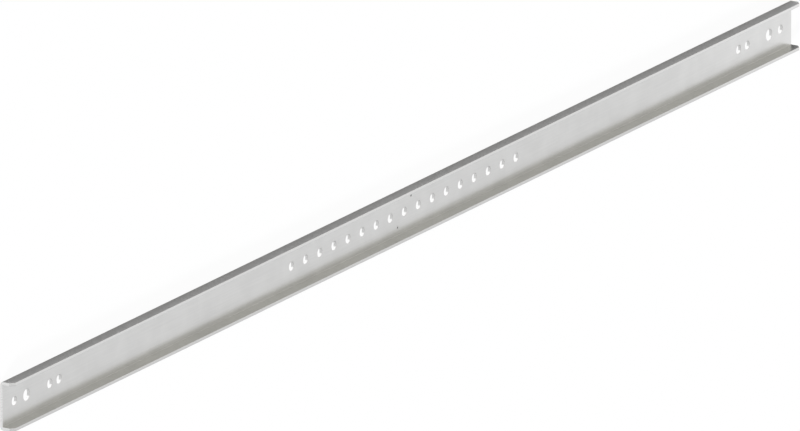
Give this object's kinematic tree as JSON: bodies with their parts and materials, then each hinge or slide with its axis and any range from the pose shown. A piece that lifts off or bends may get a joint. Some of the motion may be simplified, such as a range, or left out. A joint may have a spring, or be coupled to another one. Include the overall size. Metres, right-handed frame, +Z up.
{
  "type": "enclosure cross rail",
  "caption": "Long shallow U channel of folded zinc-coated sheet steel, with a row of bolt holes along its web, fixing holes near its ends and clipped flange corners, for bracing an enclosure.",
  "frame": {"origin": "middle of the rail's length and width, on the back of the web, which is the face it lies on", "axes": "+X along the rail, +Y across the web to one flange, +Z up out of the open side of the channel"},
  "size_m": [1.404, 0.045, 0.014],
  "materials": {
    "zinc_steel": "satin"
  },
  "bodies": {
    "root": {"cross_rail": "zinc_steel"}
  },
  "joints": []
}
